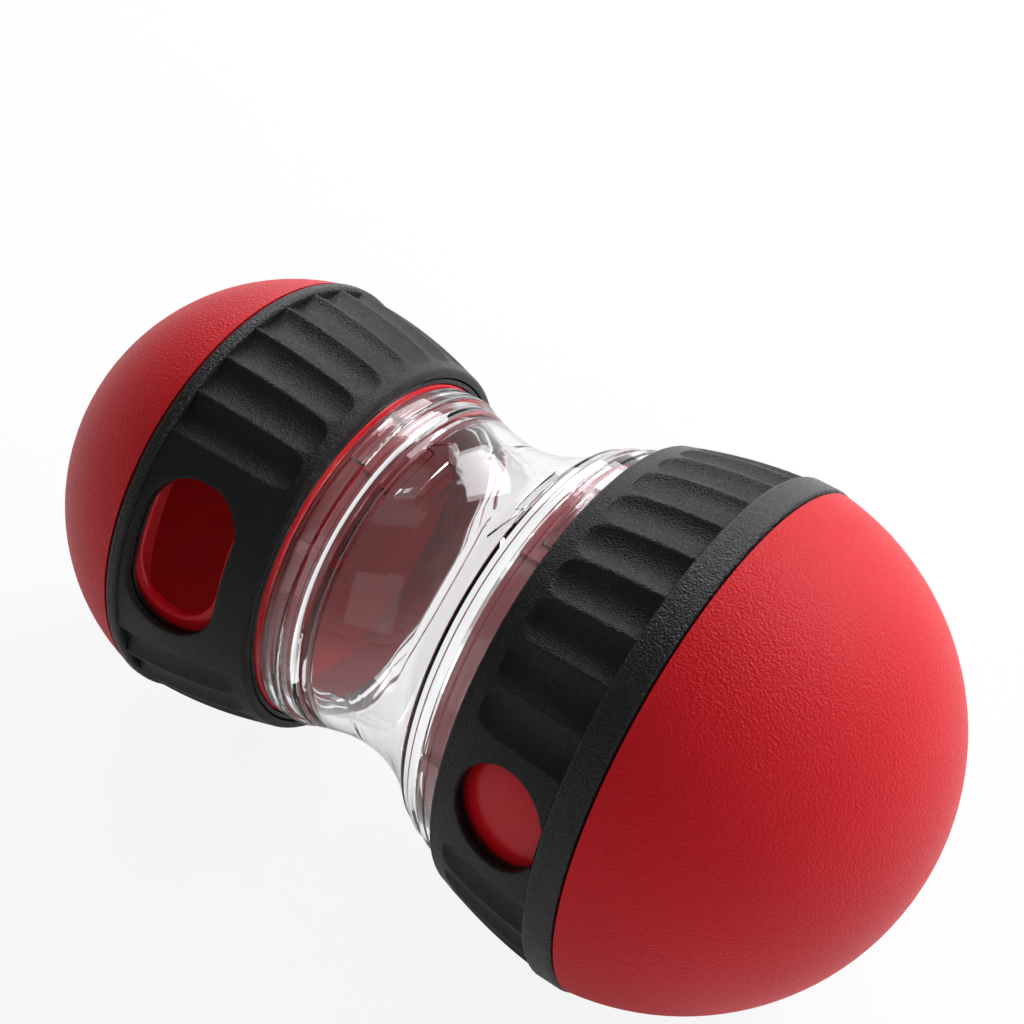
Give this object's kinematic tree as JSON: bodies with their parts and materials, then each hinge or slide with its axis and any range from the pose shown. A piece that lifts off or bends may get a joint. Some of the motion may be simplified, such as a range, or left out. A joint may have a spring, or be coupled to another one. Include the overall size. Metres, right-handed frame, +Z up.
{
  "type": "rolling treat dispenser",
  "caption": "Hourglass pet toy: a clear chamber between two domed cups, one slimmer than the other, each with a ribbed collar whose window turns over an outlet to let treats fall out as it rolls.",
  "frame": {"origin": "narrowest place of the clear chamber's waist, on the axis of the toy", "axes": "+X along the axis towards the wide end with the small round window, +Z up with the toy's axis level, both windows on the -Y side"},
  "size_m": [0.1506, 0.0826, 0.0826],
  "materials": {
    "clear_plastic": "clear polished",
    "red_shell": "fine orange-peel satin",
    "red_gloss": "smooth gloss",
    "black_hard": "fine grain",
    "black_grip": "fine grain"
  },
  "bodies": {
    "chamber": {"clear_chamber": "clear_plastic"},
    "left_cup": {"left_dome": "red_shell", "left_sleeve": "red_gloss", "left_lock_ring": "red_gloss"},
    "left_collar": {"left_shutter_ring": "black_hard", "left_grip": "black_grip"},
    "right_cup": {"right_dome": "red_shell", "right_sleeve": "red_gloss", "right_lock_ring": "red_gloss"},
    "right_collar": {"right_shutter_ring": "black_hard", "right_grip": "black_grip"}
  },
  "joints": [
    {"name": "left_cup_unlock", "type": "hinge", "parent": "chamber", "child": "left_cup", "pos_m": [0, 0, 0], "axis": [-1, 0, 0], "range_deg": [0, 30]},
    {"name": "left_shutter_turn", "type": "hinge", "parent": "left_cup", "child": "left_collar", "pos_m": [0, 0, 0], "axis": [-1, 0, 0], "range_deg": [0, 50]},
    {"name": "right_cup_unlock", "type": "hinge", "parent": "chamber", "child": "right_cup", "pos_m": [0, 0, 0], "axis": [1, 0, 0], "range_deg": [0, 30]},
    {"name": "right_shutter_turn", "type": "hinge", "parent": "right_cup", "child": "right_collar", "pos_m": [0, 0, 0], "axis": [-1, 0, 0], "range_deg": [0, 50]}
  ]
}
